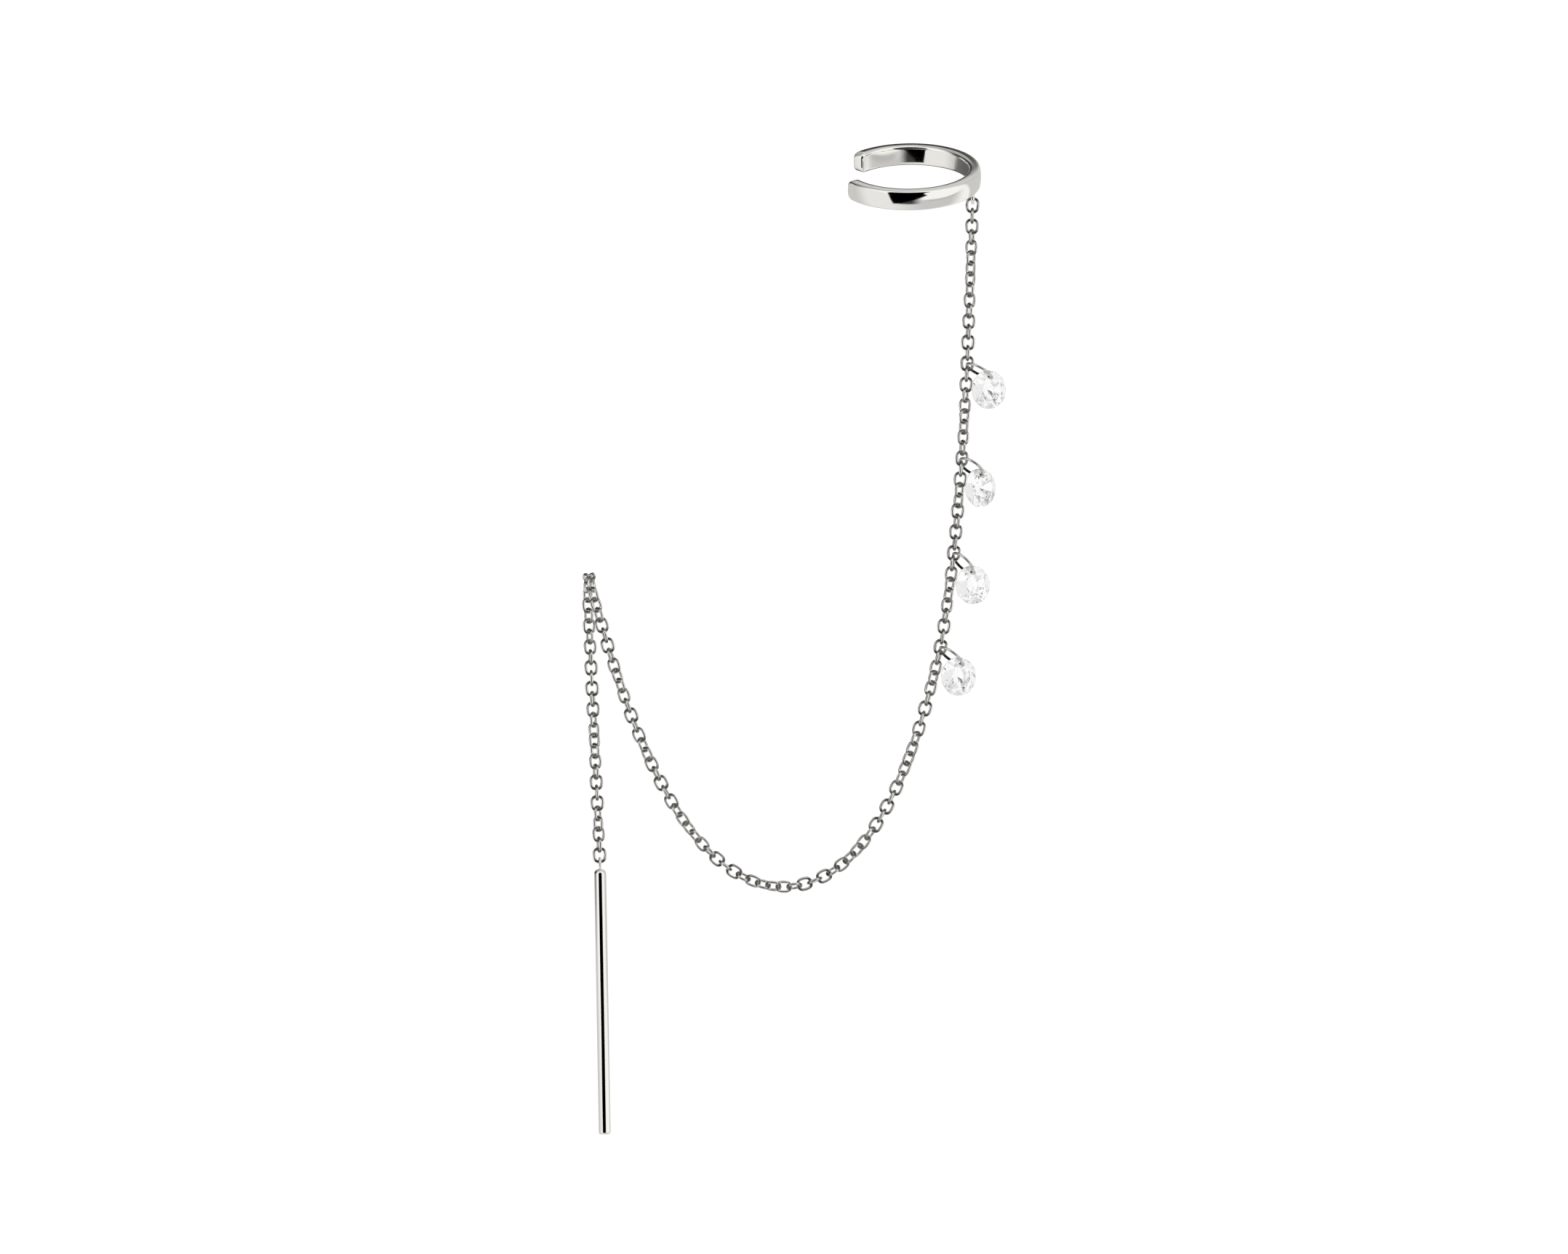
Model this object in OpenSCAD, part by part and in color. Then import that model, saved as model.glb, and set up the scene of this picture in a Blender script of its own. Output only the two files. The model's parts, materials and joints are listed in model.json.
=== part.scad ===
// Threader earring: an open ear cuff, a fine cable chain with four drilled
// round stones on jump rings, and a straight threader pin at the chain's end.
// Millimetres. The origin is the centre of the cuff, +Z is up and -Y is the front.

/* [Ear cuff] */
// Outside diameter of the cuff ring
cuff_d = 13.1; // [12:0.1:15]
// Thickness of the cuff from its outside to its inside
cuff_wall = 1.1; // [0.9:0.05:1.4]
// Width of the cuff along its own axis
cuff_width = 1.95; // [1.6:0.05:2.6]
// Rounding of the long edges
cuff_round = 0.25; // [0.1:0.05:0.4]
// Rounding of the corners at both ends of the ring
cuff_end_round = 0.6; // [0.3:0.05:0.75]
// Where the ring's rear end stands, anticlockwise from the right
cuff_rear_end = 142; // [120:1:170]
// Where the ring's front end stands, anticlockwise from the right
cuff_front_end = 209; // [190:1:230]
// How far the top of the cuff's axis tips to the front
cuff_tip = 21; // [0:0.2:30]
// How far the cuff droops to the chain's side
cuff_droop = 2; // [0:0.5:6]

/* [Chain loop on the cuff] */
// Where the loop is soldered on, anticlockwise from the right
loop_angle = -17; // [-40:1:0]
// Radius of the loop to the middle of its wire
loop_r = 0.45; // [0.44:0.01:0.55]
// Thickness of the loop's wire
loop_wire = 0.35; // [0.3:0.01:0.36]
// How far the loop's centre lies below the cuff's edge
loop_drop = 0.45; // [0.35:0.01:0.5]

/* [Chain] */
// Length of chain that one link makes up
link_pitch = 0.967; // [0.95:0.001:0.98]
// The same for the tail, whose links hang slacker
tail_pitch = 0.955; // [0.94:0.001:0.98]
// Thickness of the link wire
link_wire = 0.22; // [0.18:0.01:0.22]
// Outside width of a link
link_width = 1.25; // [1.2:0.01:1.3]
// Free play between one link and the next
link_gap = 0.11; // [0.11:0.01:0.13]
// Links from the cuff to the piercing
drape_links = 107; // [105:1:109]
// Links from the piercing to the pin, a count that keeps the last one facing front
tail_links = 26; // [22:2:30]
// Which link hangs at the lowest point of the drape
lowest_link = 70.68; // [69:0.01:72]
// Radius of the drape at its lowest point, set by the chain's sideways pull
drape_radius = 7.4; // [7:0.1:8]
// How much a stone straightens the chain above it, as a length of chain
drop_weight = 8.1; // [5:0.1:10]

/* [Stone drops] */
// Widest diameter of a stone
stone_d = 3.5; // [3.4:0.05:3.6]
// Height of the crown above the girdle
crown_h = 0.52; // [0.45:0.01:0.6]
// Depth of the pavilion below the girdle
pavilion_h = 1.45; // [1.3:0.01:1.5]
// Thickness of the girdle
girdle_h = 0.14; // [0.1:0.01:0.2]
// Diameter of the table facet
table_d = 1.9; // [1.8:0.05:2]
// Radius of the hole through a stone
hole_r = 0.28; // [0.27:0.01:0.3]
// Distance from a stone's centre to its hole
hole_out = 1.18; // [1.1:0.01:1.2]
// Radius of a jump ring to the middle of its wire
jump_r = 1.2; // [1.15:0.01:1.25]
// Thickness of a jump ring's wire
jump_wire = 0.2; // [0.18:0.01:0.22]

/* [Threader pin] */
// Diameter of the pin
pin_d = 1.1; // [0.9:0.05:1.2]
// Length of the pin without its eye
pin_length = 24.3; // [18:0.1:30]
// Rounding of the pin's top edge
pin_dome = 0.4; // [0.3:0.05:0.42]
// Bevel at the pin's free end
pin_bevel = 0.2; // [0.1:0.05:0.3]
// Radius of the pin's eye to the middle of its wire
eye_r = 0.5; // [0.48:0.01:0.55]
// Thickness of the eye's wire
eye_wire = 0.25; // [0.2:0.01:0.26]
// How far the pin hangs out of plumb, its end to the left
pin_lean = 1.6; // [0:0.1:3]

/* [Hidden] */

$fn = 48;
silver = [0.86, 0.86, 0.84];
crystal = [0.93, 0.95, 0.97];
UP = [0, 0, 1];
BACK = [0, 1, 0];

// The link in which each stone's jump ring hangs, how far the jump ring and the stone's
// own top lean to the left of plumb, and how far the stone faces to the right
DROP_LINK = 0;
DROP_RING_LEAN = 1;
DROP_STONE_LEAN = 2;
DROP_TURN = 3;
drops = [
    [15, 57, 0, 28],
    [24, 48, 4, 38],
    [33, 40, 8, 28],
    [42, 48, -8, 26],
];

// How far the chain is twisted, in degrees at a link, and evenly between two rows
twist_rows = [
    [0, 0], [6, 45], [15, 90], [24, 164], [29, 250], [33, 270],
    [38, 330], [42, 360], [45, 405], [48, 360], [53, 405], [58, 360], [68, 450],
    [77, 540], [87, 630], [94, 720], [101, 810], [106, 855], [110, 855],
    [120, 900], [130, 990], [136, 1080],
];

// The links that turn over through the piercing: how far each tilts from upright
fold_tilts = [25, 66, 114, 155];
fold_pitch = 0.88;
fold_heading = 100;
fold_way = [cos(fold_heading), sin(fold_heading), 0];

cuff_r = cuff_d / 2;
bore_r = cuff_r - cuff_wall;
cuff_middle_r = cuff_r - cuff_wall / 2;
link_length = link_pitch + 2 * link_wire + link_gap;
link_bend_r = (link_width - link_wire) / 2;
link_straight = link_length - link_width;
fold_start = drape_links;
tail_start = drape_links + len(fold_tilts);
link_count = tail_start + tail_links;
overlap = 0.01;

function unit(v) = v / norm(v);

// A turn about axis by angle degrees, for a vector that is square to it
function turned(v, axis, angle) = v * cos(angle) + cross(axis, v) * sin(angle);

// A point in the cuff's own frame, brought to where the cuff is worn
function worn_y(p) = p.y * cos(cuff_tip) - p.z * sin(cuff_tip);
function worn_z(p) = p.y * sin(cuff_tip) + p.z * cos(cuff_tip);
function worn(p) = [
    p.x * cos(cuff_droop) + worn_z(p) * sin(cuff_droop),
    worn_y(p),
    worn_z(p) * cos(cuff_droop) - p.x * sin(cuff_droop),
];

loop_seat = worn([
    cuff_middle_r * cos(loop_angle),
    cuff_middle_r * sin(loop_angle),
    -cuff_width / 2,
]);
loop_centre = loop_seat - loop_drop * UP;

// The chain's joints lie a pitch apart, and each link is centred between two of them.
// The first one is where the top link passes through the loop.
link_over_joint = (link_length - link_wire - link_pitch) / 2;
chain_start = loop_centre
    + (loop_wire / 2 - loop_r + link_gap + link_wire / 2 - link_over_joint) * UP;

// Weight that a link of the drape carries, as a length of chain
function carried(i) =
    (lowest_link - i) * link_pitch
    + drop_weight * len([for (row = drops) if (row[DROP_LINK] > i) row]);
function drape_way(i) = -unit([drape_radius, 0, carried(i)]);
function fold_tilt(i) = fold_tilts[i - fold_start];
function in_fold(i) = i >= fold_start && i < tail_start;
function link_way(i) =
    in_fold(i) ? fold_way * sin(fold_tilt(i)) + UP * cos(fold_tilt(i))
    : i < fold_start ? drape_way(i)
    : -UP;
function pitch(i) = in_fold(i) ? fold_pitch : i < fold_start ? link_pitch : tail_pitch;

joints = [
    for (i = 0, p = chain_start; i <= link_count; p = p + pitch(i) * link_way(i), i = i + 1) p
];
function link_centre(i) = (joints[i] + joints[i + 1]) / 2;

// The direction that a link's flat face looks in
function plain_face(i) =
    in_fold(i) ? fold_way * cos(fold_tilt(i)) - UP * sin(fold_tilt(i)) : BACK;
function link_face(i) = turned(plain_face(i), link_way(i), 90 * i + lookup(i, twist_rows));

// Puts a child's Z along one direction and its Y along another that is square to it
module set_along(centre, z_way, y_way) {
    x_way = cross(y_way, z_way);
    multmatrix([
        [x_way.x, y_way.x, z_way.x, centre.x],
        [x_way.y, y_way.y, z_way.y, centre.y],
        [x_way.z, y_way.z, z_way.z, centre.z],
        [0, 0, 0, 1],
    ])
    children();
}

// A ring of wire whose hole looks along Y
module wire_ring(r, wire) {
    rotate([90, 0, 0]) rotate_extrude() translate([r, 0]) circle(d = wire);
}

// A link of the chain, upright, with its flat face to the front
module link() {
    for (side = [-1, 1]) {
        translate([side * link_bend_r, 0, -link_straight / 2])
            cylinder(d = link_wire, h = link_straight);
        translate([0, 0, side * link_straight / 2]) rotate([90, 0, 0])
            rotate_extrude(angle = side * 180) translate([link_bend_r, 0]) circle(d = link_wire);
    }
}

module chain(first, last) {
    for (i = [first : last]) set_along(link_centre(i), link_way(i), link_face(i)) link();
}

// The cuff's wall, cut through: a bar with rounded long edges
module cuff_section() {
    flat_wall = cuff_wall - 2 * cuff_round;
    flat_width = cuff_width - 2 * cuff_round;
    translate([cuff_middle_r, 0]) {
        square([cuff_wall, flat_width], center = true);
        square([flat_wall, cuff_width], center = true);
        for (x = [-1, 1], y = [-1, 1])
            translate([x * flat_wall / 2, y * flat_width / 2]) circle(cuff_round);
    }
}

// What the gap takes out of the ring, with a rounded land left at both ends
module cuff_gap() {
    round_angle = 180 * cuff_end_round / (PI * cuff_middle_r);
    reach = cuff_r + 1;
    tall = cuff_width + 1;
    first = cuff_rear_end - round_angle;
    last = cuff_front_end + round_angle;
    difference() {
        rotate([0, 0, first]) rotate_extrude(angle = last - first)
            translate([bore_r - 1, -tall / 2]) square([reach - bore_r + 1, tall]);
        end_land(cuff_rear_end, -1);
        end_land(cuff_front_end, 1);
    }
}

// The rounded end of the ring, which stands at an angle and runs back into the ring
module end_land(angle, back) {
    straight = cuff_width - 2 * cuff_end_round;
    rotate([0, 0, angle]) translate([0, back * cuff_end_round, 0]) {
        translate([bore_r - 2, -cuff_end_round, -straight / 2])
            cube([cuff_wall + 4, 2 * cuff_end_round, straight]);
        for (z = [-1, 1]) translate([bore_r - 2, 0, z * straight / 2])
            rotate([0, 90, 0]) cylinder(r = cuff_end_round, h = cuff_wall + 4);
    }
}

module ear_cuff() {
    color(silver) {
        rotate([0, cuff_droop, 0]) rotate([cuff_tip, 0, 0]) difference() {
            rotate_extrude() cuff_section();
            cuff_gap();
        }
        translate(loop_centre) rotate([0, 0, 90]) wire_ring(loop_r, loop_wire);
    }
}

module drape_chain() {
    color(silver) chain(0, fold_start + 1);
}

module tail_chain() {
    color(silver) chain(fold_start + 2, link_count - 1);
}

// Where drop n hangs: the way its stone looks, and the ways its ring and stone point up
function stone_face(n) = [sin(drops[n][DROP_TURN]), -cos(drops[n][DROP_TURN]), 0];
function leaning(n, angle) = UP * cos(angle) + cross(stone_face(n), UP) * sin(angle);
function ring_up(n) = leaning(n, drops[n][DROP_RING_LEAN]);
function stone_up(n) = leaning(n, drops[n][DROP_STONE_LEAN]);

// A jump ring passes through its link to the right of the middle, clear of the next links
jump_beside = 0.13;
function jump_top(n) =
    link_centre(drops[n][DROP_LINK])
    + jump_beside * cross(link_way(drops[n][DROP_LINK]), BACK);
function jump_centre(n) = jump_top(n) - jump_r * ring_up(n);

// The ring bows inside the hole, so the hole's middle lies half of that bow nearer the ring
hole_length = 0.95;
jump_bow = jump_r - sqrt(jump_r * jump_r - hole_length * hole_length / 4);
function hole_centre(n) = jump_centre(n) - (jump_r - jump_bow / 2) * ring_up(n);
function stone_centre(n) = hole_centre(n) - hole_out * stone_up(n);

module jump_ring(n) {
    color(silver) set_along(jump_centre(n), ring_up(n), cross(ring_up(n), stone_face(n)))
        wire_ring(jump_r, jump_wire);
}

// A brilliant's facets come in eights, and half a step of them is the turn between two rows
FACET_HALF_STEP = 22.5;
// The pavilion's main facets reach the girdle's facets at this share of the girdle's radius
MAIN_SHARE = 0.28;

// Rings of facet corners, from the table down: radius, height, corners, turn
function corners(r, z, count, turn) = [
    for (k = [0 : count - 1]) [r * cos(turn + 360 * k / count), r * sin(turn + 360 * k / count), z]
];

// A round brilliant with its table up: a table, eight kites and eight stars on the
// crown, sixteen facets next to the girdle on each side, and eight mains below
module brilliant() {
    girdle_r = stone_d / 2;
    table_r = table_d / 2;
    half = girdle_h / 2;
    // How much nearer a facet's middle is than its corners
    eighth = cos(FACET_HALF_STEP);
    kite_r = (table_r + girdle_r) / 2;
    kite_z = half + crown_h * (girdle_r - kite_r * eighth) / (girdle_r - table_r * eighth);
    main_r = girdle_r * MAIN_SHARE;
    main_z = -half - pavilion_h * (girdle_r - main_r * eighth) / girdle_r;
    points = concat(
        corners(table_r, half + crown_h, 8, 0),
        corners(kite_r, kite_z, 8, FACET_HALF_STEP),
        corners(girdle_r, half, 16, 0),
        corners(girdle_r, -half, 16, 0),
        corners(main_r, main_z, 8, FACET_HALF_STEP),
        [[0, 0, -half - pavilion_h]]
    );
    kite = 8;
    top = 16;
    bottom = 32;
    main = 48;
    culet = 56;
    faces = concat(
        [[for (k = [7 : -1 : 0]) k]],
        [for (k = [0 : 7]) each star_kite(k, kite, top)],
        [for (k = [0 : 15]) each wall(top + k, top + (k + 1) % 16, bottom + k, bottom + (k + 1) % 16)],
        [for (k = [0 : 7]) each lower(k, bottom, main, culet)]
    );
    polyhedron(points, faces);
}

function star_kite(k, kite, top) =
    let (next = (k + 1) % 8, last = (k + 7) % 8, g = top + 2 * k, after = top + 2 * next)
    [
        [k, next, kite + k],
        [k, kite + k, g],
        [k, g, kite + last],
        [kite + k, g + 1, g],
        [kite + k, after, g + 1],
    ];
function wall(a, b, c, d) = [[a, b, d], [a, d, c]];
function lower(k, bottom, main, culet) =
    let (next = (k + 1) % 8, last = (k + 7) % 8, g = bottom + 2 * k, after = bottom + 2 * next)
    [
        [g, g + 1, main + k],
        [g + 1, after, main + k],
        [g, main + k, culet],
        [g, culet, main + last],
    ];

module stone(n) {
    color(crystal) set_along(stone_centre(n), stone_face(n), stone_up(n)) difference() {
        brilliant();
        translate([0, hole_out, -stone_d]) cylinder(r = hole_r, h = 2 * stone_d);
    }
}

// The pin hangs by its eye from the bottom of the chain's last link
pin_pivot = link_centre(link_count - 1) - (link_length - link_wire) / 2 * UP;
eye_top = (link_wire + eye_wire) / 2 + link_gap;
eye_centre_z = eye_top - eye_r;
pin_top_z = eye_centre_z - eye_r;

module pin_section() {
    r = pin_d / 2;
    translate([0, -pin_length + pin_bevel]) square([r, pin_length - pin_bevel - pin_dome]);
    translate([0, -pin_dome - overlap]) square([r - pin_dome, pin_dome + overlap]);
    intersection() {
        translate([r - pin_dome, -pin_dome]) circle(pin_dome);
        translate([0, -pin_dome - overlap]) square([r, pin_dome + overlap]);
    }
    polygon([
        [0, -pin_length], [r - pin_bevel, -pin_length],
        [r, -pin_length + pin_bevel], [0, -pin_length + pin_bevel],
    ]);
}

module threader_pin() {
    color(silver) translate(pin_pivot) rotate([0, pin_lean, 0]) {
        translate([0, 0, pin_top_z]) rotate_extrude() pin_section();
        translate([0, 0, eye_centre_z]) rotate([0, 0, 90]) wire_ring(eye_r, eye_wire);
    }
}

ear_cuff();
drape_chain();
tail_chain();
jump_ring(0);  // jump_ring_1
jump_ring(1);  // jump_ring_2
jump_ring(2);  // jump_ring_3
jump_ring(3);  // jump_ring_4
stone(0);  // stone_1
stone(1);  // stone_2
stone(2);  // stone_3
stone(3);  // stone_4
threader_pin();
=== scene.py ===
"""A threader earring: an open ear cuff, a fine cable chain with four drilled stones on jump
rings, and a straight pin on the chain's end, all of polished silver with a bright finish.

Lengths in the code are metres, and MM turns the jeweller's millimetres into them.
"""

import json
import math

import bmesh
import bpy
import numpy as np
from bpy.props import (
    EnumProperty,
    FloatProperty,
    FloatVectorProperty,
    IntProperty,
    PointerProperty,
)
from mathutils import Matrix, Vector


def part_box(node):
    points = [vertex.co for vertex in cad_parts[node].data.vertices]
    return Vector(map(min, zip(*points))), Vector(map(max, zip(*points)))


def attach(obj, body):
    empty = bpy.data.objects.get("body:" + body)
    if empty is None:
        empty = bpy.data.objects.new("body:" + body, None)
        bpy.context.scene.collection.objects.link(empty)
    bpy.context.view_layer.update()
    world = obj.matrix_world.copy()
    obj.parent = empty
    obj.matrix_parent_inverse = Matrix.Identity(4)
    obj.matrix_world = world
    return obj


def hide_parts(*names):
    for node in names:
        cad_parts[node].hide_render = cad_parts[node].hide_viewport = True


bl_info = {
    "name": "Threader Earring",
    "version": (1, 0, 0),
    "blender": (4, 5, 0),
    "location": "3D View > Sidebar > Earring",
    "description": "Makes a threader earring, piece by piece, and the studio that it hangs in",
    "category": "Add Mesh",
}

MM = 0.001
UP = Vector((0, 0, 1))
BACK = Vector((0, 1, 0))
# Corners and cuts that lie closer together than this count as one
SAME_PLACE = 1e-8

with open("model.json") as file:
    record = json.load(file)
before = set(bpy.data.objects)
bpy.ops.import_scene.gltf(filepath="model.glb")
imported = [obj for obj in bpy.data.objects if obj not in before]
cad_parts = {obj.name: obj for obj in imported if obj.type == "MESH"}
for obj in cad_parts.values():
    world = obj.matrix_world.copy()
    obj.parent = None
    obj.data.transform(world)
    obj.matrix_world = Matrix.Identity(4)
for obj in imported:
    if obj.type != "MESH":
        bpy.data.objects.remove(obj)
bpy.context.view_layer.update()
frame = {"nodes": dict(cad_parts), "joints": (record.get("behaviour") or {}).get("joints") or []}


# ---- Sizes and finishes that a user would change ----


def length(name, description, mm):
    """A size in millimetres, shown as a length."""
    return FloatProperty(
        name=name,
        description=description,
        default=mm * MM,
        min=0,
        unit="LENGTH",
        subtype="DISTANCE",
        precision=5,
    )


def angle(name, description, degrees):
    return FloatProperty(
        name=name,
        description=description,
        default=math.radians(degrees),
        subtype="ANGLE",
        unit="ROTATION",
    )


def linear(hex_colour):
    """An sRGB hex colour such as "#E9E8E4" as linear red, green and blue."""
    parts = [int(hex_colour[i : i + 2], 16) / 255 for i in (1, 3, 5)]
    return [c / 12.92 if c <= 0.04045 else ((c + 0.055) / 1.055) ** 2.4 for c in parts]


def tint(name, description, hex_colour):
    return FloatVectorProperty(
        name=name,
        description=description,
        default=linear(hex_colour),
        min=0,
        max=1,
        size=3,
        subtype="COLOR",
    )


def count(name, description, number, low=3):
    return IntProperty(name=name, description=description, default=number, min=low)


def factor(name, description, value):
    return FloatProperty(
        name=name, description=description, default=value, min=0, max=1, subtype="FACTOR"
    )


class CuffSizes(bpy.types.PropertyGroup):
    across: length("Across", "Outside diameter of the ring", 13.1)
    wall: length("Wall", "Thickness of the strip that the ring is bent from", 1.1)
    width: length("Width", "Width of the strip", 1.95)
    outer_edge: length("Outer edges", "Rounding of the edges on the outside", 0.15)
    inner_edge: length("Inner edges", "Rounding of the edges on the inside", 0.3)
    crown: length("Crown", "How far the outside bulges between the long edges", 0.11)
    comfort: length("Comfort", "How far the inside bulges between the long edges", 0.025)
    slope: angle("Rim slope", "How far the rims fall away to the outside", 2.5)
    end: length("End corners", "Rounding of the strip's end corners", 0.62)
    rear_end: angle("Rear end", "Where the rear end stands, from the right", 142)
    front_end: angle("Front end", "Where the front end stands, from the right", 209)
    tip: angle("Tip", "How far the top of the ring's axis tips to the front", 21)
    droop: angle("Droop", "How far the ring sinks on the chain's side", 2)
    steps: count("Steps", "Cuts along the strip, so that it bends smoothly", 150, 12)
    loop_angle: angle("Loop angle", "Where the chain's loop is soldered on", -17)
    loop: length("Loop radius", "Radius of the loop to the middle of its wire", 0.45)
    loop_wire: length("Loop wire", "Thickness of the loop's wire", 0.35)
    loop_drop: length("Loop drop", "Loop centre below the ring's lower edge", 0.45)


class ChainSizes(bpy.types.PropertyGroup):
    long: length("Link length", "Outside length of a link", 1.55)
    wide: length("Link width", "Outside width of a link", 1.3)
    wire: length("Link wire", "Thickness of the link wire", 0.28)
    sway: angle("Sway", "How far a link may stand askew in the chain", 5)
    around: count("Around", "Faces round a link", 22)
    section: count("Section", "Faces round its wire", 8)


class DropSizes(bpy.types.PropertyGroup):
    ring: length("Jump ring", "Radius of a jump ring to the middle of its wire", 1.2)
    wire: length("Ring wire", "Thickness of a jump ring's wire", 0.26)
    cut: length("Cut", "Width of the cut where the ring was closed", 0.03)
    stone: length("Stone", "Diameter of a stone", 3.5)
    table: length("Table", "Diameter of the table between opposite corners", 1.9)
    crown: length("Crown", "Height of the crown", 0.52)
    girdle: length("Girdle", "Thickness of the girdle", 0.14)
    pavilion: length("Pavilion", "Depth of the pavilion", 1.45)
    hole: length("Hole", "Radius of the drilled hole", 0.28)
    hole_out: length("Hole distance", "From the stone's centre to its hole", 1.18)


class PinSizes(bpy.types.PropertyGroup):
    across: length("Across", "Diameter of the pin", 1.1)
    long: length("Length", "Length of the pin without its eye", 24.3)
    dome: length("Dome", "Rounding of the top edge", 0.4)
    bevel: length("Bevel", "Bevel of the free end", 0.2)
    lean: angle("Lean", "How far the free end hangs to the left", 1.6)
    eye: length("Eye", "Radius of the eye to the middle of its wire", 0.5)
    eye_wire: length("Eye wire", "Thickness of the eye's wire", 0.25)


class Finishes(bpy.types.PropertyGroup):
    silver: tint("Silver", "Colour of the bright silver", "#F6F4EF")
    # Colour of the painted shade on the wire, where the links cross and inside the jump rings
    tarnish: tint("Tarnish", "Colour of the wire where no cloth reaches", "#35322B")
    polish: factor("Polish", "Roughness of the polished silver", 0.05)
    stone: tint("Stone", "Colour of the stones", "#FFFFFF")
    lustre: FloatProperty(
        name="Lustre",
        description="Refractive index of the stones, 2.15 for cubic zirconia",
        default=2.15,
        min=1.3,
        max=2.6,
    )


class StudioSettings(bpy.types.PropertyGroup):
    floor: tint("Floor", "Colour of the studio floor", "#FFFFFF")
    tent: FloatProperty(
        name="Tent", description="Brightness of the white light tent", default=1.05, min=0
    )
    opening: factor("Opening", "Brightness of the window and the slit in the tent", 0.0)
    lens: FloatProperty(
        name="Lens",
        description="Focal length of the camera",
        default=1000,
        min=20,
        unit="CAMERA",
        subtype="DISTANCE_CAMERA",
    )
    roll: angle("Roll", "How far the camera leans", 2.6)


class EarringSettings(bpy.types.PropertyGroup):
    cuff: PointerProperty(type=CuffSizes)
    chain: PointerProperty(type=ChainSizes)
    drop: PointerProperty(type=DropSizes)
    pin: PointerProperty(type=PinSizes)
    finish: PointerProperty(type=Finishes)
    studio: PointerProperty(type=StudioSettings)


# How each drop hangs: its number, then in degrees how far its jump ring and its stone lean
# to the left of plumb, and how far the stone faces to the right
DROPS = (
    {"number": 1, "ring_lean": 57, "stone_lean": 0, "turn": 28},
    {"number": 2, "ring_lean": 48, "stone_lean": 4, "turn": 38},
    {"number": 3, "ring_lean": 40, "stone_lean": 8, "turn": 28},
    {"number": 4, "ring_lean": 48, "stone_lean": -8, "turn": 26},
)

# Each edge in the light tent: where it starts and ends, and the brightness before and after
# it. An edge without brightness lies between two tones that change along it. Those in front
# are measured on a sheet that stands one length before the piece, the others by direction.
EDGES = {
    # The camera's round window, from its middle, and the slit below it
    "window": (0.59, 0.65, 0.0, 1.0),
    "slit left": (-0.8, -0.74, 1.0, 0.0),
    "slit top": (-0.24, -0.12, 0.0, 1.0),
    "slit tip": (-0.105, -0.045, 0.0, 1.0),
    "slit bottom": (-0.88, -0.8),
    # The shade on the table under the slit, up to its front edge and to its middle
    "shade front": (-1.18, -1.06, 1.0, 0.07),
    "shade side": (0.0, 0.5, 0.07, 1.0),
    # The table from left to right, and the line along its far edge
    "table": (-0.5, 0.3, 0.82, 0.58),
    "line": (0.1, 0.5, 0.82, 0.5),
    "line near": (-0.12, -0.05),
    "line far": (-0.03, 0.03),
    # The darkness behind: its foot, and the roof above it, dimmer on the left
    "foot": (-0.02, 0.12, 0.6, 0.05),
    "roof": (0.625, 0.72),
    "roof left": (-0.15, 0.0, 0.4, 0.62),
    # The white board on its right
    "board": (1.02, 1.12, 0.58, 0.92),
    "board left": (0.04, 0.18, 0.0, 1.0),
    # Where the front of the tent turns into its back
    "turn": (-0.35, 0.2, 0.0, 1.0),
    # What the stones see: the dark spot of the lens, and paper that dims to the right
    "lens": (0.11, 0.17, 0.0, 1.0),
    "paper": (-0.9, 0.9, 1.0, 0.9),
    # The grey card's painted glow, which shades the cuff's inside, from its left end to its right
    "card": (-18 * MM, -5 * MM, 0.6, 0.1),
}
# On the sheet in front: the middles of the window and of the lens, and the least depth for a
# direction that runs along the sheet or away from it
WINDOW_MIDDLE = (-0.03, 0, 0)
LENS_MIDDLE = (-0.1, -0.45, 0)
LEAST_DEPTH = 0.02
# Brightness of the tent's front above the line
TENT_FRONT = 0.95
# How steeply the edges run that are neither level nor upright
SLIT_TIP_SLOPE = 1.16
SLIT_BOTTOM_SLOPE = 0.48
LINE_SLOPE = 0.32
LINE_DEPTH = 0.68
TURN_SLOPE = 0.4

FLOOR_SIZE = 2.4
FLOOR_LEVEL = -0.12
CARD_SIZE = (21 * MM, 4.9 * MM)
CARD_MIDDLE = Vector((-7.5, 8, -1.55)) * MM

# What the camera's frame takes in, by its width and its middle
FRAME_WIDTH = 143.73 * MM
FRAME_MIDDLE = Vector((-13.37, 0, -40.70)) * MM
SENSOR = 36

# How close the cuff's bulge and fall keep to its long edges: the higher, the closer
BULGE_POWER = 2
FALL_POWER = 9

# A link's painted shade starts and is full at these shares of the way from its middle to
# where the next link bears. Across the wire it has this value in the middle and grows inward.
PAINTED_SHADE_FROM = 0.45
PAINTED_SHADE_FULL = 0.85
PAINTED_SHADE_INNER = 0.85
# A little painted shade anywhere else on the link
PAINTED_SHADE_REST = 0.15
# A jump ring's painted shade and dark reflection: its value in the middle of its wire,
# outside, and its growth to the inside
RING_PAINTED_SHADE = 0.75
RING_PAINTED_SHADE_LEAST = 0.3
RING_PAINTED_SHADE_GROWTH = 3

# How far the swaying and the tilting go on from link to link, in radians, so that no two
# neighbours stand alike, and how much less a link tilts than it sways
SWAY_STEP = 12.9898
TILT_STEP = 78.233
TILT_SHARE = 0.4

# Where a jump ring's cut stands, and how much of the ring is inside its stone
CUT_AT = math.radians(200)
HOLE_LENGTH = 0.95 * MM

# How steep the stars and the facets next to the girdle are, as shares of the kites' tilt
STAR_TILT = 0.62
HALF_TILT = 1.2


# ---- Materials ----


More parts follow.
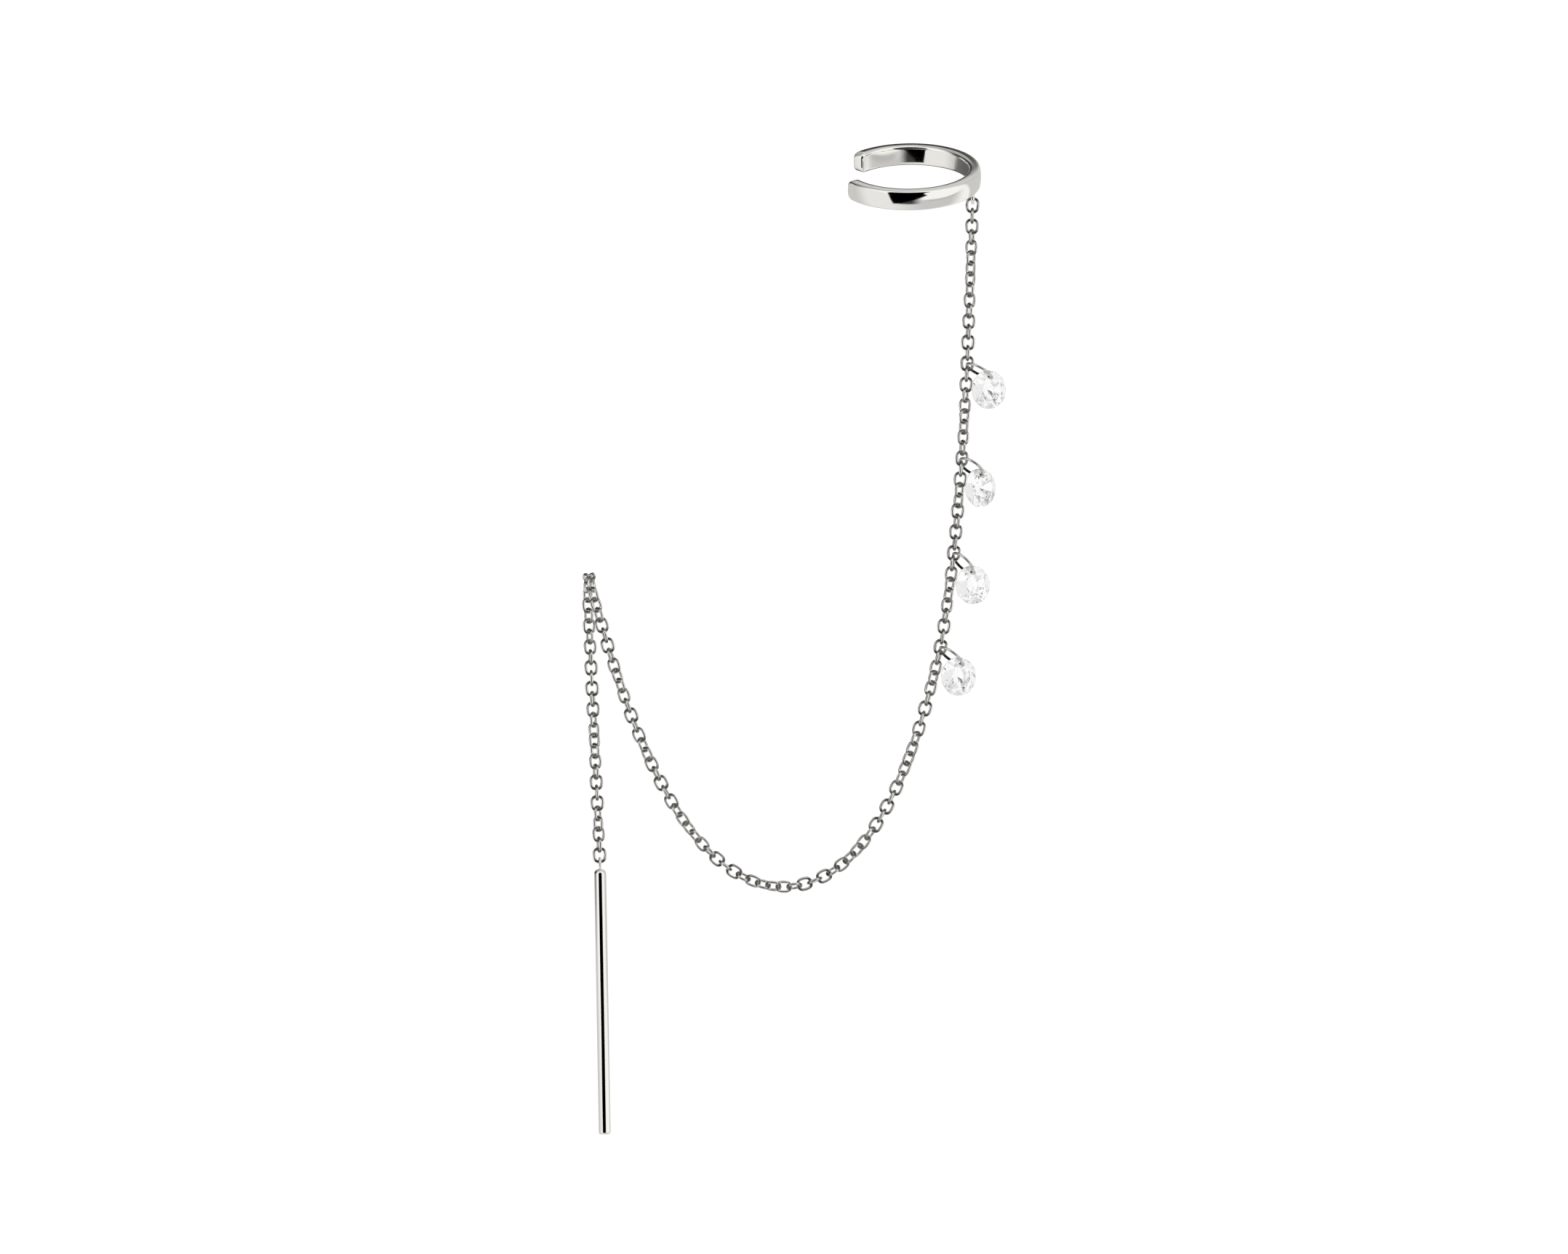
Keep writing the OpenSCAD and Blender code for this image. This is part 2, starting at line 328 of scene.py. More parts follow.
def node(tree, kind, settings=(), links=()):
    """Adds a node with its settings and, for each input, what feeds it: a value, a socket, or
    a node, which gives its first output."""
    made = tree.nodes.new(kind)
    for name, value in dict(settings).items():
        setattr(made, name, value)
    for name, source in dict(links).items():
        if isinstance(source, bpy.types.Node):
            source = source.outputs[0]
        if isinstance(source, bpy.types.NodeSocket):
            tree.links.new(source, made.inputs[name])
        else:
            made.inputs[name].default_value = source
    return made


def new_material(name):
    """A material with one Principled shader, and that shader."""
    made = bpy.data.materials.new(name)
    made.use_nodes = True
    return made, made.node_tree.nodes["Principled BSDF"]


def per_metre(mm):
    """The scale of a pattern whose features are that many millimetres apart."""
    return 1 / (mm * MM)


def run_of(edge):
    """Where an edge starts and ends and its brightness, named as a Map Range names them."""
    return dict(zip(("From Min", "From Max", "To Min", "To Max"), EDGES[edge]))


def polished_silver(name, ripple_mm, ripple_depth_mm, rub_mm):
    """Silver with a bright rhodium flash: near-white, mirror-like, and buffed by hand.

    The buffing leaves slow ripples that make the reflections' edges wander, and soft patches
    that are a little less bright.
    """
    settings = bpy.context.scene.earring.finish
    made, shader = new_material(name)
    tree = made.node_tree
    place = node(tree, "ShaderNodeTexCoord").outputs["Object"]
    ripple = node(
        tree,
        "ShaderNodeTexNoise",
        links={"Vector": place, "Scale": per_metre(ripple_mm), "Detail": 1.0},
    )
    rub = node(
        tree,
        "ShaderNodeTexNoise",
        links={"Vector": place, "Scale": per_metre(rub_mm), "Detail": 3.0, "Roughness": 0.6},
    )
    # The noise keeps mostly between these two values
    rough = node(
        tree,
        "ShaderNodeMapRange",
        links={
            "Value": rub.outputs["Fac"],
            "From Min": 0.3,
            "From Max": 0.75,
            "To Min": settings.polish * 0.6,
            "To Max": settings.polish * 2.2,
        },
    )
    bump = node(
        tree,
        "ShaderNodeBump",
        links={
            "Height": ripple.outputs["Fac"],
            "Distance": ripple_depth_mm * MM,
            "Strength": 1.0,
        },
    )
    shader.inputs["Base Color"].default_value = (*settings.silver, 1)
    shader.inputs["Metallic"].default_value = 1.0
    tree.links.new(rough.outputs["Result"], shader.inputs["Roughness"])
    tree.links.new(bump.outputs["Normal"], shader.inputs["Normal"])
    return made


def cut_zirconia(name):
    """Cubic zirconia: colourless and very refractive, so its flat facets throw back the light."""
    settings = bpy.context.scene.earring.finish
    made, shader = new_material(name)
    shader.inputs["Base Color"].default_value = (*settings.stone, 1)
    shader.inputs["Roughness"].default_value = 0.0
    shader.inputs["IOR"].default_value = settings.lustre
    shader.inputs["Transmission Weight"].default_value = 1.0
    return made


def ground_zirconia(name):
    """The girdle and the drilled hole: the same stone left frosted by the grinding wheel.

    A wheel's own grit is finer than the picture can show, so the pattern is coarser.
    """
    settings = bpy.context.scene.earring.finish
    made, shader = new_material(name)
    tree = made.node_tree
    place = node(tree, "ShaderNodeTexCoord").outputs["Object"]
    grit = node(
        tree,
        "ShaderNodeTexNoise",
        links={"Vector": place, "Scale": per_metre(0.06), "Detail": 2.0},
    )
    rough = node(
        tree,
        "ShaderNodeMapRange",
        links={"Value": grit.outputs["Fac"], "To Min": 0.25, "To Max": 0.5},
    )
    shader.inputs["Base Color"].default_value = (*settings.stone, 1)
    shader.inputs["IOR"].default_value = settings.lustre
    shader.inputs["Transmission Weight"].default_value = 1.0
    tree.links.new(rough.outputs["Result"], shader.inputs["Roughness"])
    return made


def drawn_wire(name):
    """Drawn silver wire: as bright as the cuff, but with painted shade where the links bear on
    each other and inside the jump rings, so that each crossing shows as a dark spot."""
    settings = bpy.context.scene.earring.finish
    made = polished_silver(name, ripple_mm=0.4, ripple_depth_mm=0.008, rub_mm=0.4)
    tree = made.node_tree
    shader = tree.nodes["Principled BSDF"]
    # The mark of painted shade: where it is high, the wire is painted dark
    worn = node(
        tree, "ShaderNodeAttribute", {"attribute_type": "GEOMETRY", "attribute_name": "tarnish"}
    )
    colour = node(
        tree,
        "ShaderNodeMix",
        {"data_type": "RGBA"},
        {0: worn.outputs["Fac"], 6: (*settings.silver, 1), 7: (*settings.tarnish, 1)},
    )
    tree.links.new(colour.outputs[2], shader.inputs["Base Color"])
    return made


def studio_paper(name):
    """Matt white paper, which gives the eye an even ground with no gloss and no edge."""
    settings = bpy.context.scene.earring.studio
    made, shader = new_material(name)
    shader.inputs["Base Color"].default_value = (*settings.floor, 1)
    shader.inputs["Roughness"].default_value = 0.9
    return made


def grey_card(name):
    """A card with a painted glow, as if lit from the left, which gives the silver a tone that
    fades to dark.
    """
    made, shader = new_material(name)
    tree = made.node_tree
    across = node(
        tree,
        "ShaderNodeSeparateXYZ",
        links={0: node(tree, "ShaderNodeTexCoord").outputs["Object"]},
    )
    glow = node(
        tree,
        "ShaderNodeMapRange",
        {"interpolation_type": "SMOOTHSTEP"},
        {"Value": across.outputs["X"], **run_of("card")},
    )
    shader.inputs["Base Color"].default_value = (0, 0, 0, 1)
    shader.inputs["Emission Color"].default_value = (1, 1, 1, 1)
    tree.links.new(glow.outputs["Result"], shader.inputs["Emission Strength"])
    return made


def material(name, make, **details):
    """The named material, made the first time that a piece asks for it."""
    return bpy.data.materials.get(name) or make(name, **details)


def cuff_silver():
    return material(
        "buffed silver", polished_silver, ripple_mm=2.2, ripple_depth_mm=0.006, rub_mm=1.2
    )


def wire_silver():
    return material("drawn silver wire", drawn_wire)


# ---- Bench tools ----


def clear_selection():
    if bpy.context.object and bpy.context.object.mode != "OBJECT":
        bpy.ops.object.mode_set(mode="OBJECT")
    bpy.ops.object.select_all(action="DESELECT")


def edit(piece):
    """Opens a piece in edit mode with nothing else selected."""
    clear_selection()
    piece.select_set(True)
    bpy.context.view_layer.objects.active = piece
    bpy.ops.object.mode_set(mode="EDIT")


def select_where(piece, part, test):
    """Selects the vertices, edges or faces of a piece in edit mode for which test is true."""
    bpy.ops.mesh.select_all(action="DESELECT")
    bpy.ops.mesh.select_mode(type={"verts": "VERT", "edges": "EDGE", "faces": "FACE"}[part])
    mesh = bmesh.from_edit_mesh(piece.data)
    for item in getattr(mesh, part):
        item.select_set(bool(test(item)))
    mesh.select_flush_mode()
    bmesh.update_edit_mesh(piece.data)


def place(piece, matrix):
    """Puts a piece where matrix says, with its place kept in its mesh."""
    bpy.context.view_layer.update()
    piece.matrix_world = matrix @ piece.matrix_world
    clear_selection()
    piece.select_set(True)
    bpy.context.view_layer.objects.active = piece
    bpy.ops.object.transform_apply(location=True, rotation=True, scale=True)


def modify(piece, kind, **settings):
    """Adds a modifier with its settings and applies it."""
    modifier = piece.modifiers.new(kind.title(), kind)
    for name, value in settings.items():
        setattr(modifier, name, value)
    clear_selection()
    piece.select_set(True)
    bpy.context.view_layer.objects.active = piece
    bpy.ops.object.modifier_apply(modifier=modifier.name)


def smooth(piece, degrees=35):
    clear_selection()
    piece.select_set(True)
    bpy.context.view_layer.objects.active = piece
    bpy.ops.object.shade_smooth_by_angle(angle=math.radians(degrees))


def copy_of(piece, name):
    made = piece.copy()
    made.data = piece.data.copy()
    made.name = made.data.name = name
    bpy.context.scene.collection.objects.link(made)
    return made


def joined(pieces, name):
    """One piece out of several."""
    clear_selection()
    for piece in pieces:
        piece.select_set(True)
    bpy.context.view_layer.objects.active = pieces[0]
    bpy.ops.object.join()
    made = bpy.context.object
    made.name = made.data.name = name
    return made


def finish(piece, body, slot, *stands_for):
    """Hands a piece to its body and hides the CAD nodes that it stands for.
    The finish that it is given is not used.
    """
    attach(piece, body)
    if stands_for:
        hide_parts(*stands_for)


def axes(x_way, y_way, z_way, centre):
    """The matrix that puts a piece's own axes along three directions."""
    made = Matrix((x_way, y_way, z_way)).transposed().to_4x4()
    made.translation = centre
    return made


def bent_wire(name, radius, wire, turn, around, section):
    """Wire bent round Z through turn, starting at the right. A full turn closes on itself."""
    clear_selection()
    bpy.ops.mesh.primitive_circle_add(
        vertices=section,
        radius=wire / 2,
        fill_type="NOTHING",
        location=(radius, 0, 0),
        rotation=(math.pi / 2, 0, 0),
    )
    piece = bpy.context.object
    piece.name = piece.data.name = name
    place(piece, Matrix.Identity(4))
    edit(piece)
    bpy.ops.mesh.select_all(action="SELECT")
    closed = turn > math.tau - 1e-6
    if not closed:
        bpy.ops.mesh.edge_face_add()
    bpy.ops.mesh.spin(steps=around, angle=turn, center=(0, 0, 0), axis=(0, 0, 1))
    bpy.ops.mesh.select_all(action="SELECT")
    bpy.ops.mesh.remove_doubles(threshold=wire * 1e-3)
    bpy.ops.mesh.normals_make_consistent(inside=False)
    bpy.ops.object.mode_set(mode="OBJECT")
    return piece


def loose_parts(mesh):
    """For each separate part of a mesh its centre, and its long, wide and thin directions."""
    corners = np.empty(len(mesh.vertices) * 3)
    mesh.vertices.foreach_get("co", corners)
    corners = corners.reshape(-1, 3)
    mesh.calc_loop_triangles()
    triangles = np.empty(len(mesh.loop_triangles) * 3, dtype=int)
    mesh.loop_triangles.foreach_get("vertices", triangles)
    triangles = triangles.reshape(-1, 3)
    # The CAD mesh has loose triangles, so corners at one place count as one corner
    places = np.round(corners / SAME_PLACE).astype(np.int64)
    same, corner_of = np.unique(places, axis=0, return_inverse=True)
    corner_of = corner_of.reshape(-1)
    joined_corners = corner_of[triangles]
    part = np.arange(len(same))
    while True:
        lowest = part[joined_corners].min(axis=1)
        before = part.copy()
        for k in range(3):
            np.minimum.at(part, joined_corners[:, k], lowest)
        part = part[part]
        if (part == before).all():
            break
    part_of = part[joined_corners[:, 0]]
    found = []
    for number in np.unique(part_of):
        a, b, c = (corners[triangles[part_of == number, k]] for k in range(3))
        area = np.linalg.norm(np.cross(b - a, c - a), axis=1)
        middle = (a + b + c) / 3
        centre = (middle * area[:, None]).sum(axis=0) / area.sum()
        spread = ((middle - centre) * area[:, None]).T @ (middle - centre)
        ways = np.linalg.eigh(spread)[1]
        found.append((Vector(centre), *(Vector(ways[:, k]) for k in (2, 1, 0))))
    return found


# ---- Operators, one for each piece or group of like pieces ----


class EARRING_OT_ear_cuff(bpy.types.Operator):
    """Bend the ear cuff from a flat strip and solder the chain's loop under it"""

    bl_idname = "earring.ear_cuff"
    bl_label = "Ear Cuff"
    bl_options = {"REGISTER", "UNDO"}

    def dome(self, piece, sizes):
        """Bulges the outer side of the strip and lets its rims fall away to the outside."""
        half = sizes.width / 2
        fall = sizes.wall * math.tan(sizes.slope)
        for tenth in range(-8, 9, 2):
            level = half * tenth / 10
            if abs(level) < half - sizes.inner_edge:
                bpy.ops.mesh.select_all(action="SELECT")
            else:
                # The rounding of the inner edges reaches as far as this, so it is left whole
                select_where(piece, "faces", lambda f: f.normal.y < -0.5)
            bpy.ops.mesh.bisect(
                plane_co=(0, 0, level), plane_no=(0, 0, 1), threshold=SAME_PLACE
            )
        corners = bmesh.from_edit_mesh(piece.data).verts
        for level in sorted({round(v.co.z, 8) for v in corners}):
            share = level / half
            for side, bulge, sink in ((1, -sizes.comfort, 0), (-1, sizes.crown, fall)):
                select_where(
                    piece,
                    "verts",
                    lambda v: v.co.y * side > 0 and abs(v.co.z - level) < SAME_PLACE,
                )
                bpy.ops.transform.translate(
                    value=(0, bulge * share**BULGE_POWER, -sink * share**FALL_POWER)
                )

    def strip(self, sizes, long):
        """The flat strip, its end corners rounded and its long edges eased."""
        clear_selection()
        bpy.ops.mesh.primitive_cube_add(size=1, scale=(long, sizes.wall, sizes.width))
        piece = bpy.context.object
        piece.name = piece.data.name = "ear_cuff_band"
        place(piece, Matrix.Identity(4))
        edit(piece)
        select_where(
            piece,
            "edges",
            lambda e: abs(e.verts[0].co.y - e.verts[1].co.y) > sizes.wall / 2,
        )
        bpy.ops.mesh.bevel(offset=sizes.end, segments=12, affect="EDGES")
        self.dome(piece, sizes)
        for step in range(1, sizes.steps):
            from_end = long * min(step, sizes.steps - step) / sizes.steps
            # The ends' round corners have cuts enough of their own
            if from_end < sizes.end:
                continue
            bpy.ops.mesh.select_all(action="SELECT")
            bpy.ops.mesh.bisect(
                plane_co=(long * (step / sizes.steps - 0.5), 0, 0),
                plane_no=(1, 0, 0),
                threshold=SAME_PLACE,
            )
        for side, rounding in ((1, sizes.inner_edge), (-1, sizes.outer_edge)):
            select_where(
                piece,
                "edges",
                lambda e: all(v.co.y * side > 0 for v in e.verts)
                and e.calc_face_angle(0) > math.radians(40),
            )
            bpy.ops.mesh.bevel(
                offset=rounding,
                segments=6,
                affect="EDGES",
                clamp_overlap=False,
                loop_slide=False,
            )
        bpy.ops.object.mode_set(mode="OBJECT")
        return piece

    def execute(self, context):
        sizes = context.scene.earring.cuff
        middle = (sizes.across - sizes.wall) / 2
        arc = math.tau + sizes.rear_end - sizes.front_end
        band = self.strip(sizes, arc * middle)
        modify(band, "SIMPLE_DEFORM", deform_method="BEND", deform_axis="Z", angle=arc)
        facing = (sizes.rear_end + math.tau + sizes.front_end) / 2 + math.pi / 2
        worn = Matrix.Rotation(sizes.droop, 4, "Y") @ Matrix.Rotation(sizes.tip, 4, "X")
        place(
            band,
            worn @ Matrix.Rotation(facing, 4, "Z") @ Matrix.Translation((0, -middle, 0)),
        )
        loop = bent_wire(
            "cuff_loop", sizes.loop, sizes.loop_wire, math.tau, around=48, section=16
        )
        seat = worn @ Vector(
            (
                middle * math.cos(sizes.loop_angle),
                middle * math.sin(sizes.loop_angle),
                -sizes.width / 2,
            )
        )
        place(loop, axes(BACK, UP, BACK.cross(UP), seat - sizes.loop_drop * UP))
        for piece in (band, loop):
            smooth(piece)
            piece.data.materials.append(cuff_silver())
        finish(band, "ear_piece", "silver", "ear_cuff")
        finish(loop, "ear_piece", "silver")
        return {"FINISHED"}


class EARRING_OT_chain(bpy.types.Operator):
    """Make one oval link and set a copy of it at each place in the chain"""

    bl_idname = "earring.chain"
    bl_label = "Cable Chain"
    bl_options = {"REGISTER", "UNDO"}

    which: EnumProperty(
        name="Run",
        description="The run of chain to make",
        items=(
            ("drape_chain", "Drape", "From the cuff to the piercing"),
            ("tail_chain", "Tail", "From the piercing to the pin"),
        ),
    )

    def tarnish(self, link, sizes):
        """Paints shade on the inner side of both bends, where the next link bears."""
        mark = link.data.attributes.new("tarnish", "FLOAT", "POINT")
        bearing = sizes.long / 2 - sizes.wire / 2
        for corner, value in zip(link.data.vertices, mark.data):
            out = abs(corner.co.y)
            near = (out / bearing - PAINTED_SHADE_FROM) / (PAINTED_SHADE_FULL - PAINTED_SHADE_FROM)
            inner = PAINTED_SHADE_INNER + (bearing - out) / sizes.wire
            both = min(max(near, 0), 1) * min(max(inner, 0), 1)
            value.value = max(both, PAINTED_SHADE_REST)

    def execute(self, context):
        sizes = context.scene.earring.chain
        link = bent_wire(
            "link",
            (sizes.wide - sizes.wire) / 2,
            sizes.wire,
            math.tau,
            sizes.around,
            sizes.section,
        )
        straight = (sizes.long - sizes.wide) / 2
        edit(link)
        for side in (-1, 1):
            select_where(link, "verts", lambda v: v.co.y * side > 1e-7)
            bpy.ops.transform.translate(value=(0, side * straight, 0))
        bpy.ops.object.mode_set(mode="OBJECT")
        smooth(link, degrees=80)
        # Painted shade on the bends, where the next link bears and shades the wire
        self.tarnish(link, sizes)
        link.data.materials.append(wire_silver())
        links = []
        for number, found in enumerate(loose_parts(frame["nodes"][self.which].data)):
            centre, long_way, wide_way, _ = found
            askew = Matrix.Rotation(sizes.sway * math.sin(SWAY_STEP * number), 4, "Y")
            tilt = Matrix.Rotation(
                sizes.sway * TILT_SHARE * math.sin(TILT_STEP * number), 4, "Z"
            )
            made = copy_of(link, "link_copy")
            made.matrix_world = (
                axes(wide_way, long_way, wide_way.cross(long_way), centre) @ askew @ tilt
            )
            links.append(made)
        bpy.data.objects.remove(link)
        name = self.which.replace("_chain", "_links")
        chain = joined(links, name)
        place(chain, Matrix.Identity(4))
        # The silver mirrors the studio alone, and painted shade is what keeps the links apart
        chain.visible_glossy = False
        finish(chain, "ear_piece", "silver", self.which)
        return {"FINISHED"}


class EARRING_OT_jump_rings(bpy.types.Operator):
    """Bend a jump ring, cut and closed, and hang a copy of it in the chain for each stone"""

    bl_idname = "earring.jump_rings"
    bl_label = "Jump Rings"
    bl_options = {"REGISTER", "UNDO"}

    def execute(self, context):
        sizes = context.scene.earring.drop
        turn = math.tau - sizes.cut / sizes.ring
        ring = bent_wire("jump_ring", sizes.ring, sizes.wire, turn, around=72, section=12)
        smooth(ring)
        # Painted shade and dark reflection: the wire is dark along its middle and darker still on
        # the ring's inside, lighter on its outside
        mark = ring.data.attributes.new("tarnish", "FLOAT", "POINT")
        for corner, value in zip(ring.data.vertices, mark.data):
            inward = (sizes.ring - corner.co.xy.length) / sizes.wire
            grown = RING_PAINTED_SHADE + RING_PAINTED_SHADE_GROWTH * inward
            value.value = max(RING_PAINTED_SHADE_LEAST, min(grown, 1.0))
        ring.data.materials.append(wire_silver())
        # The cut stands at the ring's upper right, off the link and off the stone
        turned = Matrix.Rotation(CUT_AT, 4, "Z")
        for drop in DROPS:
            node_name = f"jump_ring_{drop['number']}"
            (found,) = loose_parts(frame["nodes"][node_name].data)
            face, ring_up, _ = ways_of(drop)
            made = copy_of(ring, f"stone_ring_{drop['number']}")
            side = ring_up.cross(face)
            place(made, axes(face, side.cross(face), side, found[0]) @ turned)
            finish(made, "ear_piece", "silver", node_name)
        bpy.data.objects.remove(ring)
        return {"FINISHED"}


def ways_of(drop):
    """The way a drop's stone faces, and the ways that its ring and its stone point up."""
    turn = math.radians(drop["turn"])
    face = Vector((math.sin(turn), -math.cos(turn), 0))
    left = face.cross(UP)

    def leaning(degrees):
        lean = math.radians(degrees)
        return UP * math.cos(lean) + left * math.sin(lean)

    return face, leaning(drop["ring_lean"]), leaning(drop["stone_lean"])


class EARRING_OT_stones(bpy.types.Operator):
    """Cut a round brilliant facet by facet, drill it, and hang a copy in each jump ring"""

    bl_idname = "earring.stones"
    bl_label = "Drilled Stones"
    bl_options = {"REGISTER", "UNDO"}

    def cuts(self, sizes):
        """The way that each facet faces, and a point on it."""
        girdle = sizes.stone / 2
        half = sizes.girdle / 2
        table_edge = sizes.table / 2 * math.cos(math.pi / 8)
        crown_top = half + sizes.crown
        crown_slope = math.atan2(sizes.crown, girdle - sizes.table / 2)
        pavilion_slope = math.atan2(sizes.pavilion, girdle)
        # Kites, stars, the facets next to the girdle, and the mains below: how many there
        # are, the share of a step that the first is turned by, tilt, radius and height
        rows = (
            (8, 0.0, crown_slope, girdle, half),
            (8, 0.5, crown_slope * STAR_TILT, table_edge, crown_top),
            (16, 0.5, crown_slope * HALF_TILT, girdle * math.cos(math.pi / 16), half),
            (8, 0.0, math.pi - pavilion_slope, girdle, -half),
        )
        for facets, first, tilt, radius, height in rows:
            for facet in range(facets):
                around = math.tau * (facet + first) / facets
                out = Vector((math.cos(around), math.sin(around), 0))
                yield out * math.sin(tilt) + UP * math.cos(tilt), out * radius + UP * height
        yield UP, UP * crown_top

    def execute(self, context):
        sizes = context.scene.earring.drop
        deep = sizes.crown + sizes.girdle + sizes.pavilion
        clear_selection()
        bpy.ops.mesh.primitive_cylinder_add(vertices=96, radius=sizes.stone / 2, depth=2 * deep)
        stone = bpy.context.object
        stone.name = stone.data.name = "stone"
        edit(stone)
        for way, point in self.cuts(sizes):
            bpy.ops.mesh.select_all(action="SELECT")
            bpy.ops.mesh.bisect(
                plane_co=point, plane_no=way, use_fill=True, clear_outer=True, threshold=1e-9
            )
        bpy.ops.object.mode_set(mode="OBJECT")
        clear_selection()
        bpy.ops.mesh.primitive_cylinder_add(
            vertices=32, radius=sizes.hole, depth=2 * deep, location=(0, sizes.hole_out, 0)
        )
        drill = bpy.context.object
        stone.data.materials.append(material("cut zirconia", cut_zirconia))
        stone.data.materials.append(material("ground zirconia", ground_zirconia))
        drill.data.materials.append(bpy.data.materials["ground zirconia"])
        modify(
            stone,
            "BOOLEAN",
            operation="DIFFERENCE",
            object=drill,
            solver="EXACT",
            material_mode="TRANSFER",
        )
        bpy.data.objects.remove(drill)
        # Only the girdle and the hole stand upright on the stone
        for face in stone.data.polygons:
            upright = abs(face.normal.z) < 0.02
            face.material_index = 1 if upright else 0
        for drop in DROPS:
            number = drop["number"]
            (found,) = loose_parts(frame["nodes"][f"jump_ring_{number}"].data)
            face, ring_up, stone_up = ways_of(drop)
            bow = sizes.ring - math.sqrt(sizes.ring**2 - HOLE_LENGTH**2 / 4)
            hole = found[0] - (sizes.ring - bow / 2) * ring_up
            made = copy_of(stone, f"cut_stone_{number}")
            centre = hole - sizes.hole_out * stone_up
            place(made, axes(stone_up.cross(face), stone_up, face, centre))
            finish(made, "ear_piece", "stone", f"stone_{number}")
        bpy.data.objects.remove(stone)
        return {"FINISHED"}


class EARRING_OT_threader_pin(bpy.types.Operator):
    """Turn the threader pin with its dome and bevel, and solder its eye on"""

    bl_idname = "earring.threader_pin"
    bl_label = "Threader Pin"
    bl_options = {"REGISTER", "UNDO"}

    def execute(self, context):
        sizes = context.scene.earring.pin
        pivot = Vector(frame["joints"][0]["pos_m"])
        lean = Matrix.Translation(pivot) @ Matrix.Rotation(sizes.lean, 4, "Y")
        _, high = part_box("threader_pin")
        eye_centre = (high.z - pivot.z) - sizes.eye - sizes.eye_wire / 2
        top = eye_centre - sizes.eye
        clear_selection()
        bpy.ops.mesh.primitive_cylinder_add(
            vertices=64,
            radius=sizes.across / 2,
            depth=sizes.long,
            location=(0, 0, top - sizes.long / 2),
        )
        rod = bpy.context.object
        rod.name = rod.data.name = "pin_rod"
        place(rod, Matrix.Identity(4))
        edit(rod)
        for height, offset, steps in (
            (top, sizes.dome, 10),
            (top - sizes.long, sizes.bevel, 3),
        ):
            select_where(
                rod,
                "edges",
                lambda e: all(abs(v.co.z - height) < 1e-6 for v in e.verts),
            )
            bpy.ops.mesh.bevel(offset=offset, segments=steps, affect="EDGES")
        bpy.ops.object.mode_set(mode="OBJECT")
        eye = bent_wire(
            "pin_eye", sizes.eye, sizes.eye_wire, math.tau, around=48, section=14
        )
        place(eye, axes(BACK, UP, BACK.cross(UP), eye_centre * UP))
        for piece in (rod, eye):
            place(piece, lean)
            smooth(piece, degrees=50)
            piece.data.materials.append(cuff_silver())
        finish(rod, "threader", "silver", "threader_pin")
        finish(eye, "threader", "silver")
        return {"FINISHED"}


